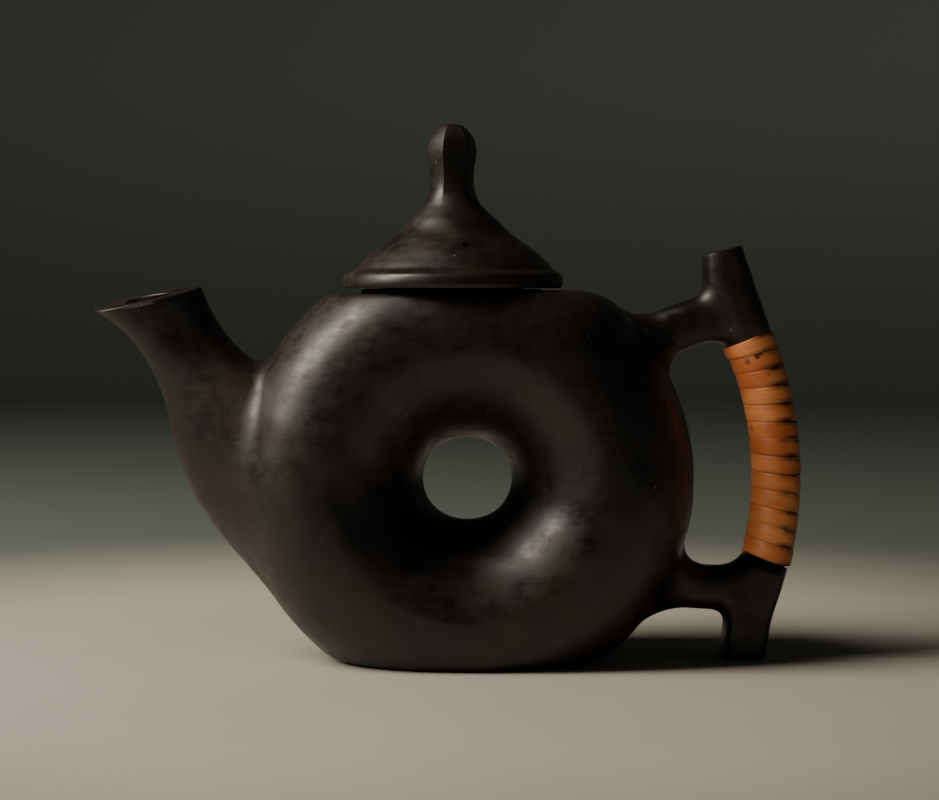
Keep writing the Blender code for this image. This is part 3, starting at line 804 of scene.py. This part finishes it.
class TEAPOT_OT_cane(bpy.types.Operator):
    """Wind the strip of split cane round the grip, and put its clay core under it"""
    bl_idname = "teapot.cane"
    bl_label = "Cane grip"

    def execute(self, context):
        settings = context.scene.teapot_cane
        made = cane_strip("cane_binding", settings.pitch, settings.thickness)
        finish(made, "pot", cane_material(), "split_cane", "cane_wrap")
        path = grip_point(np.linspace(GRIP_BOTTOM - CORE_OVERRUN, GRIP_TOP + CORE_OVERRUN, 90))
        size = np.full(len(path), GRIP_RADIUS - settings.thickness - CORE_CLEARANCE)
        core = mesh_piece("grip_bar", [(limb_lines(path, size, size, 2.0, 48), False, 1)])
        finish_clay(core, "pot", "grip_core")
        return {"FINISHED"}


# ---- Lid

LID_RADIUS = float(DOME_HIGH[0] - DOME_LOW[0]) / 2 - HAND_MARGIN
LID_BOTTOM = float(DOME_LOW[2])
NECK_Z = float(DOME_HIGH[2])
FLANGE_BOTTOM = float(FLANGE_LOW[2])
FLANGE_OUT = float(FLANGE_HIGH[0] - FLANGE_LOW[0]) / 2
FLANGE_IN = FLANGE_OUT - 0.0040
FLANGE_ROUNDING = 0.0012
POLE = 0.0004  # a turned profile starts this far from its axis and is capped there
# Outside of the lid, as (in from the rim, up from its underside): rolled bead, groove, ogee, waist
# and rounded head.
LID_FLANK = (
    (0.0006, 0.0), (0.0, 0.0012), (0.0001, 0.0032), (0.0008, 0.0048), (0.0023, 0.0059),
    (0.0040, 0.0069), (0.0063, 0.0095), (0.0102, 0.0131), (0.0150, 0.0165), (0.0205, 0.0208),
    (0.0243, 0.0248), (0.0275, 0.0278), (0.0300, 0.0305), (0.0317, 0.0340), (0.0325, 0.0375),
    (0.0328, 0.0410), (0.0326, 0.0445), (0.0322, 0.0480), (0.0321, 0.0510), (0.0327, 0.0545),
    (0.0347, 0.0578), (0.0368, 0.0596), (0.0385, 0.0600), (LID_RADIUS - POLE, 0.0602))
LID_TURNS = 256
LID_LEAN = 0.0006  # how far the flank leans towards the handle, half way up
LID_WOBBLE = 1.5
RIM_CALM = 0.006  # height above the rim at which the hand's wobble is whole
KNOB_RIDGE = math.radians(270 - 22)
KNOB_SIDES = 6
KNOB_PARING = 0.90  # share of the way from round to six-sided
KNOB_FULLNESS = 1.06  # a pared section keeps its bulk by being this much larger
PARING_START = 0.006  # below the neck
PARING_RUN = 0.016
PEG_GAP = 0.0002
VENT_RADIUS = 0.0013
VENT_ASIDE = 0.005  # from the lid's axis, towards the handle
VENT_RISE = 0.0113


def faceted(grid):
    """Pares the knob: above the neck each section moves from round towards a six-sided one with a
    ridge a little left of the front, radius cos(side / 2) / cos(angle from the side's middle)."""
    rel_x, rel_y = grid[..., 0] - LID_X, grid[..., 1]
    angle = np.arctan2(rel_y, rel_x) - KNOB_RIDGE
    side = TAU / KNOB_SIDES
    pared = math.cos(side / 2) / np.cos(np.mod(angle, side) - side / 2)
    amount = KNOB_PARING * ease(np.clip((grid[..., 2] - NECK_Z + PARING_START) / PARING_RUN, 0, 1))
    scale = 1 + (pared * KNOB_FULLNESS - 1) * amount
    return np.stack([LID_X + rel_x * scale, rel_y * scale, grid[..., 2]], -1)


def lid_lift(grid, height):
    """The hand's wobble on the lid, radially, with none near the rim's underside, and the lean of
    its flank towards the handle."""
    rise = np.clip((grid[..., 2] - LID_BOTTOM) / (NECK_Z - LID_BOTTOM), 0, 1)
    lean = np.stack([LID_LEAN * np.sin(math.pi * rise), 0 * rise, 0 * rise], -1)
    rel = (grid - (LID_X, 0, 0)) * (1, 1, 0)
    fade = np.clip((grid[..., 2:] - LID_BOTTOM) / RIM_CALM, 0, 1)
    return unit(rel) * wobble(grid, height)[..., None] * fade * LID_WOBBLE + lean


def lid_part(name, profile):
    """A part of the lid, turned, worked by the hand and pared."""
    grid = turned(profile, LID_X, LID_TURNS)
    grid = faceted(grid + lid_lift(grid, bpy.context.scene.teapot_ring.hand_wobble))
    return mesh_piece(name, [(grid, False, 1)], 60)


class TEAPOT_OT_lid(bpy.types.Operator):
    """Turn the hollow lid with its rolled rim and flange, pare its knob and pierce its vent"""
    bl_idname = "teapot.lid"
    bl_label = "Lid"

    def execute(self, context):
        z, low, soft = LID_BOTTOM, FLANGE_BOTTOM, FLANGE_ROUNDING
        flank = through([(LID_RADIUS - inwards, z + up) for inwards, up in LID_FLANK], 8)
        split = int(np.argmin(np.abs(flank[:, 1] - NECK_Z)))
        under = through([(POLE, NECK_Z - 0.0085), (0.0050, NECK_Z - 0.0092), (0.0120, NECK_Z - 0.0180),
                         (FLANGE_IN - 0.0040, z + 0.0060), (FLANGE_IN, z - 0.0005),
                         (FLANGE_IN, low + soft), (FLANGE_IN + soft, low), (FLANGE_OUT - soft, low),
                         (FLANGE_OUT, low + soft), (FLANGE_OUT, z - 0.0004), (FLANGE_OUT + soft, z),
                         (LID_RADIUS - 0.0040, z)], 6)
        crown = np.linspace((POLE, NECK_Z), flank[split], 5)[:-1]
        made = lid_part("lid_cap", np.concatenate([crown, flank[split::-1], under[::-1]]))
        vent_x, vent_z = LID_X + VENT_ASIDE, z + VENT_RISE
        carve(made, rod_grid((vent_x, -LID_RADIUS, vent_z + 0.010), (vent_x, -0.004, vent_z - 0.006),
                             VENT_RADIUS, 32))
        finish_clay(made, "lid", "lid_dome", "lid_flange")
        knob = lid_part("lid_peg", np.concatenate([crown - (0, PEG_GAP), flank[split:]]))
        finish_clay(knob, "lid", "lid_knob")
        return {"FINISHED"}


# ---- Materials

FACTOR, FIRST, SECOND = 0, 6, 7  # a Mix node's sockets when it mixes colours


def join(node, inputs):
    """Sets or links a node's inputs, given by name or in the order of its sockets. A node given as
    a value stands for its first live output."""
    for key, value in inputs.items() if isinstance(inputs, dict) else enumerate(inputs):
        if isinstance(value, bpy.types.Node):
            value = next(out for out in value.outputs if out.enabled)
        if isinstance(value, bpy.types.NodeSocket):
            node.id_data.links.new(value, node.inputs[key])
        else:
            node.inputs[key].default_value = value


def add_node(tree, kind, inputs=(), **settings):
    """Adds a shader node with its settings, then sets or links each of its inputs."""
    made = tree.nodes.new("ShaderNode" + kind)
    for key, value in settings.items():
        setattr(made, key, value)
    join(made, inputs)
    return made


def new_material(name):
    """A material, what adds a node to it, and its Principled shader."""
    material = bpy.data.materials.new(name)
    material.use_nodes = True
    material.node_tree.nodes.clear()
    node = functools.partial(add_node, material.node_tree)
    shader = node("BsdfPrincipled")
    node("OutputMaterial", {"Surface": shader})
    return material, node, shader


def clay_material():
    """Low-fired clay, burnished with a stone and blackened by smoke. The burnish gives broad soft
    highlights broken by rubbing strokes; the smoke leaves browner clouds; grit leaves pinholes."""
    name = "smoke_blackened_burnished_clay"
    if name in bpy.data.materials:
        return bpy.data.materials[name]
    settings = bpy.context.scene.teapot_clay
    material, node, shader = new_material(name)
    place = node("TexCoord").outputs["Object"]
    # Clouds of smoke are about 40 mm across, mottles 8 mm, the stone's strokes 2 by 11 mm.
    clouds = node("TexNoise", {"Vector": place, "Scale": 24.0, "Detail": 4.0, "Roughness": 0.55})
    cloud = node("MapRange", (clouds, 0.40, 0.68))
    mottles = node("TexNoise", {"Vector": place, "Scale": 130.0, "Detail": 5.0, "Roughness": 0.62})
    mottle = node("MapRange", (mottles, 0.35, 0.65, -0.07, 0.10))
    strokes_place = node("Mapping", {
        "Vector": place, "Rotation": (0.0, 0.5, 0.0), "Scale": (90.0, 240.0, 520.0)})
    strokes = node("TexNoise", {"Vector": strokes_place, "Scale": 1.0, "Detail": 3.0, "Roughness": 0.6})
    grain = node("TexNoise", {"Vector": place, "Scale": 1400.0, "Detail": 3.0, "Roughness": 0.6})
    # Pinholes lie in cells 3 by 11 mm, and only a sixth of the cells have one.
    specks_place = node("Mapping", {
        "Vector": place, "Rotation": (0.3, 0.6, 0.2), "Scale": (300.0, 300.0, 90.0)})
    specks = node("TexVoronoi", {"Vector": specks_place, "Scale": 1.0})
    speck = node("MapRange", (specks, 0.05, 0.11, 1.0, 0.0))
    chance = node("SeparateColor", {"Color": specks.outputs["Color"]})
    rare = node("Math", (chance, 0.84), operation="GREATER_THAN")
    dust = node("Math", (speck, rare), operation="MULTIPLY")
    base = node("Mix", {
        FACTOR: cloud, FIRST: (*settings.colour, 1), SECOND: (*settings.smoke_colour, 1)}, data_type="RGBA")
    dusty = node("Mix", {FACTOR: dust, FIRST: base, SECOND: (*linear("#75675a"), 1)}, data_type="RGBA")
    rough = node("MapRange", (strokes, 0.30, 0.70, 0.36, 0.44))
    dull = node("Math", (cloud, 0.06, rough), operation="MULTIPLY_ADD")
    matt = node("Math", (dull, mottle), operation="ADD")
    fine = node("Bump", {"Height": grain, "Strength": 0.25, "Distance": 0.00006})
    rubbed = node("Bump", {"Height": strokes, "Strength": 0.22, "Distance": 0.00014, "Normal": fine})
    pits = node("Bump", {
        "Height": dust, "Strength": 0.6, "Distance": 0.0002, "Normal": rubbed}, invert=True)
    join(shader, {"Base Color": dusty, "Roughness": matt, "Normal": pits})
    shader.inputs["IOR"].default_value = 1.57
    return material


SPOT_LENGTH = 0.024  # in turns of the strip
SPOT_WIDTH = 0.24  # in widths of the strip
DARK_SPOTS = ((-0.895, 0.86, 0.95), (-0.918, 0.99, 0.9), (-0.826, 0.66, 0.7), (-1.93, 0.75, 0.35),
         (-4.72, 0.6, 0.4))  # (turns from the top, place across, strength)


def cane_dark_spots(node, strip, pitch):
    """Small dark spots, three near the strip's top end and two further down: each fades out with the
    distance from its own place on the strip, and the darkest one counts."""
    darkest_spot = 0.0
    for turns, across, strength in DARK_SPOTS:
        scaled = node("VectorMath", (strip, (1 / SPOT_LENGTH, 1 / SPOT_WIDTH, 0.0)), operation="MULTIPLY")
        middle = ((whole_turns(pitch) + turns) / SPOT_LENGTH, across / SPOT_WIDTH, 0.0)
        gap = node("VectorMath", (scaled, middle), operation="DISTANCE")
        spot = node("MapRange", (gap, 0.45, 1.0, strength, 0.0))
        darkest_spot = node("Math", (spot, darkest_spot), operation="MAXIMUM")
    return darkest_spot


def cane_gap_shade(node, strip):
    """Painted shade: dark broken lines along the strip's edges, standing in for the shade in the gaps
    between the turns, mostly on the outside of the grip's bend, where the turns part."""
    parts = node("SeparateXYZ", {"Vector": strip})
    off = node("Math", (parts.outputs["Y"], 0.5), operation="SUBTRACT")
    away = node("Math", (off,), operation="ABSOLUTE")
    near = node("MapRange", (away, 0.19, 0.44))
    broken_place = node("Mapping", {"Vector": strip, "Scale": (5.0, 1.3, 1.0)})
    broken = node("TexNoise", {"Vector": broken_place, "Scale": 1.0, "Detail": 3.0, "Roughness": 0.6})
    # where along the edges the painted gap shade is broken
    broken_shade = node("MapRange", (broken, 0.37, 0.55))
    outside = node("MapRange", (parts.outputs["Z"], 0.46, 0.72, 0.14))
    line = node("Math", (near, broken_shade), operation="MULTIPLY")
    return node("Math", (line, outside), operation="MULTIPLY")


def cane_material():
    """Split cane, varnished: long fibres along the strip, painted shade along its edges for the gaps
    between the turns, and a soft gloss that runs across the turns. Each turn has its own shade of honey."""
    settings = bpy.context.scene.teapot_cane
    material, node, shader = new_material("varnished_split_cane")
    strip = node("Attribute", attribute_name="strip").outputs["Vector"]
    # Fibres are a quarter of a millimetre wide and half a turn long; the shade changes once a turn.
    fibre_place = node("Mapping", {"Vector": strip, "Scale": (2.2, 26.0, 1.0)})
    fibres = node("TexNoise", {"Vector": fibre_place, "Scale": 1.0, "Detail": 4.0, "Roughness": 0.65})
    shade_place = node("Mapping", {"Vector": strip, "Scale": (0.9, 0.4, 1.0)})
    shade = node("TexNoise", {"Vector": shade_place, "Scale": 1.0, "Detail": 2.0})
    # Painted shade in the gaps between the turns, together with the small dark spots
    edge = node("Math", (
        cane_gap_shade(node, strip), cane_dark_spots(node, strip, settings.pitch)), operation="MAXIMUM")
    tone = node("MapRange", (shade, 0.36, 0.62))
    base = node("Mix", {
        FACTOR: tone, FIRST: (*linear("#b9622e"), 1), SECOND: (*settings.colour, 1)}, data_type="RGBA")
    streak = node("MapRange", (fibres, 0.40, 0.62, 0.30, 0.0))
    lined = node("Mix", {FACTOR: streak, FIRST: base, SECOND: (*linear("#954c22"), 1)}, data_type="RGBA")
    # The cane's colour with the painted gap shade and the dark spots laid over it
    shade_painted = node("Mix", {
        FACTOR: edge, FIRST: lined, SECOND: (*settings.gap_shade_and_spot_colour, 1)}, data_type="RGBA")
    rough = node("MapRange", (fibres, 0.3, 0.7, 0.38, 0.55))
    bump = node("Bump", {"Height": fibres, "Strength": 0.5, "Distance": 0.00012})
    join(shader, {"Base Color": shade_painted, "Roughness": rough, "Normal": bump})
    shader.inputs["IOR"].default_value = 1.5
    return material


def floor_material(colour):
    """Pale painted board, a little uneven in tone, that turns to grey-green cloth away from the
    teapot and grows lighter as the cloth climbs."""
    material, node, shader = new_material("pale_painted_board")
    place = node("TexCoord").outputs["Object"]
    noise = node("TexNoise", {"Vector": place, "Scale": 9.0, "Detail": 4.0})
    tone = node("MapRange", (noise, 0.3, 0.7))
    board = node("Mix", {
        FACTOR: tone, FIRST: (*colour, 1), SECOND: (*(0.93 * c for c in colour), 1)}, data_type="RGBA")
    far = node("VectorMath", (place,), operation="LENGTH")
    fade = node("MapRange", (far, 0.17, 0.44), interpolation_type="SMOOTHSTEP")
    height = node("SeparateXYZ", {"Vector": place})
    climb = node("MapRange", (height.outputs["Z"], 0.0, 0.5), interpolation_type="SMOOTHSTEP")
    cloth = node("Mix", {
        FACTOR: climb, FIRST: (*linear("#6a726c"), 1), SECOND: (*linear("#868f88"), 1)}, data_type="RGBA")
    base = node("Mix", {FACTOR: fade, FIRST: board, SECOND: cloth}, data_type="RGBA")
    join(shader, {"Base Color": base})
    shader.inputs["Roughness"].default_value = 0.8
    return material


# ---- Stage

FLOOR_REACH = 1.9  # from the teapot's middle to where the floor starts to bend up
FLOOR_BEND = 0.6
BACKDROP_TOP = 1.6
CAP_AREA = 1.0  # square metres: of the many-sided faces, only the floor's top cap is larger
KEY_PLACE = (-0.93, -0.20, 0.86)
KEY_AIM = (0, 0, 0.08)
KEY_SIZE = (0.46, 0.95)
GRIP_LIGHT_PLACE = (-0.55, -0.80, 0.50)
GRIP_LIGHT_SIZE = (0.30, 0.30)
AIR_STRENGTH = 0.02
VIEW_X = 0.0009  # the camera looks at this place, along Y
VIEW_HEIGHT = 0.0955


def open_top(mesh):
    """Takes the wide cap off the top of the turned floor. The small one in its middle stays."""
    shape = bmesh.new()
    shape.from_mesh(mesh)
    wide = [f for f in shape.faces if len(f.verts) > 4 and f.calc_area() > CAP_AREA]
    bmesh.ops.delete(shape, geom=wide, context="FACES_ONLY")
    shape.to_mesh(mesh)
    shape.free()


def lay_floor(colour):
    """A round floor that bends up all round into the backdrop."""
    arc = np.linspace(0, math.pi / 2, 24)
    bend = np.stack([FLOOR_REACH + FLOOR_BEND * np.sin(arc), FLOOR_BEND * (1 - np.cos(arc))], -1)
    profile = np.concatenate([[(0.001, 0.0)], bend, [(FLOOR_REACH + FLOOR_BEND, BACKDROP_TOP)]])
    floor = mesh_piece("studio_floor", [(turned(profile, 0.0, 96)[:, ::-1], False, 1)])
    floor.data.materials.append(floor_material(colour))
    open_top(floor.data)


def add_light(name, where, at, size, power):
    """A soft box at a place, turned to face another."""
    data = bpy.data.lights.new(name, "AREA")
    data.shape = "RECTANGLE"
    data.size, data.size_y = size
    data.energy = power
    data.color = linear("#fff4e6")
    made = bpy.data.objects.new(name, data)
    bpy.context.scene.collection.objects.link(made)
    made.location = where
    aim = mathutils.Vector(at) - mathutils.Vector(where)
    made.rotation_euler = aim.to_track_quat("-Z", "Y").to_euler()
    return made


def hang_lights(key_power, grip_share):
    """The soft box at the left, a weaker one that reaches only the cane, and a trace of room light."""
    add_light("key_softbox", KEY_PLACE, KEY_AIM, KEY_SIZE, key_power)
    grip = add_light("grip_softbox", GRIP_LIGHT_PLACE, GRIP_MIDDLE, GRIP_LIGHT_SIZE,
                     key_power * grip_share)
    lit = bpy.data.collections.new("grip_light_receivers")
    lit.objects.link(bpy.data.objects["cane_binding"])
    grip.light_linking.receiver_collection = lit
    world = bpy.data.worlds.new("studio_air")
    world.use_nodes = True
    air = world.node_tree.nodes["Background"]
    air.inputs["Color"].default_value = (*linear("#c9ccc9"), 1)
    air.inputs["Strength"].default_value = AIR_STRENGTH
    bpy.context.scene.world = world


def place_camera(distance, eye_height, lens):
    """The camera in front, at eye height, tilted down to the teapot's middle."""
    data = bpy.data.cameras.new("studio_camera")
    data.lens = lens
    data.sensor_width = 36.0
    camera = bpy.data.objects.new("studio_camera", data)
    camera.location = (VIEW_X, -distance, eye_height)
    drop = math.atan2(eye_height - VIEW_HEIGHT, distance)
    camera.rotation_euler = (math.pi / 2 - drop, 0, 0)
    bpy.context.scene.collection.objects.link(camera)
    bpy.context.scene.camera = camera


class TEAPOT_OT_stage(bpy.types.Operator):
    """Lay the pale floor, hang the soft light and place the camera"""
    bl_idname = "teapot.stage"
    bl_label = "Stage"

    def execute(self, context):
        settings = context.scene.teapot_stage
        lay_floor(settings.floor_colour)
        hang_lights(settings.key_power, settings.grip_share)
        place_camera(settings.distance, settings.eye_height, settings.lens)
        return {"FINISHED"}


# ---- Panel and registration

class TEAPOT_PT_panel(bpy.types.Panel):
    """The teapot's pieces, in the order that they are made"""
    bl_label = "Ring Teapot"
    bl_idname = "TEAPOT_PT_panel"
    bl_space_type = "VIEW_3D"
    bl_region_type = "UI"
    bl_category = "Ring Teapot"

    def draw(self, context):
        for operator in OPERATORS:
            self.layout.operator(operator.bl_idname)
        for group in GROUPS:
            settings = getattr(context.scene, group)
            for name in settings.bl_rna.properties.keys():
                if name not in ("rna_type", "name"):
                    self.layout.prop(settings, name)


OPERATORS = (TEAPOT_OT_ring, TEAPOT_OT_seat, TEAPOT_OT_spout, TEAPOT_OT_arms, TEAPOT_OT_cane,
             TEAPOT_OT_lid, TEAPOT_OT_stage)
GROUPS = {"teapot_ring": RingSettings, "teapot_joints": JointSettings, "teapot_cane": CaneSettings,
          "teapot_clay": ClaySettings, "teapot_stage": StageSettings}


def register():
    for group in GROUPS.values():
        bpy.utils.register_class(group)
    for name, group in GROUPS.items():
        setattr(bpy.types.Scene, name, bpy.props.PointerProperty(type=group))
    for item in (*OPERATORS, TEAPOT_PT_panel):
        bpy.utils.register_class(item)


def unregister():
    for item in reversed((*OPERATORS, TEAPOT_PT_panel)):
        bpy.utils.unregister_class(item)
    for name, group in GROUPS.items():
        delattr(bpy.types.Scene, name)
        bpy.utils.unregister_class(group)


def main():
    register()
    for operator in OPERATORS:
        group, name = operator.bl_idname.split(".")
        getattr(getattr(bpy.ops, group), name)()


if __name__ == "__main__":
    main()
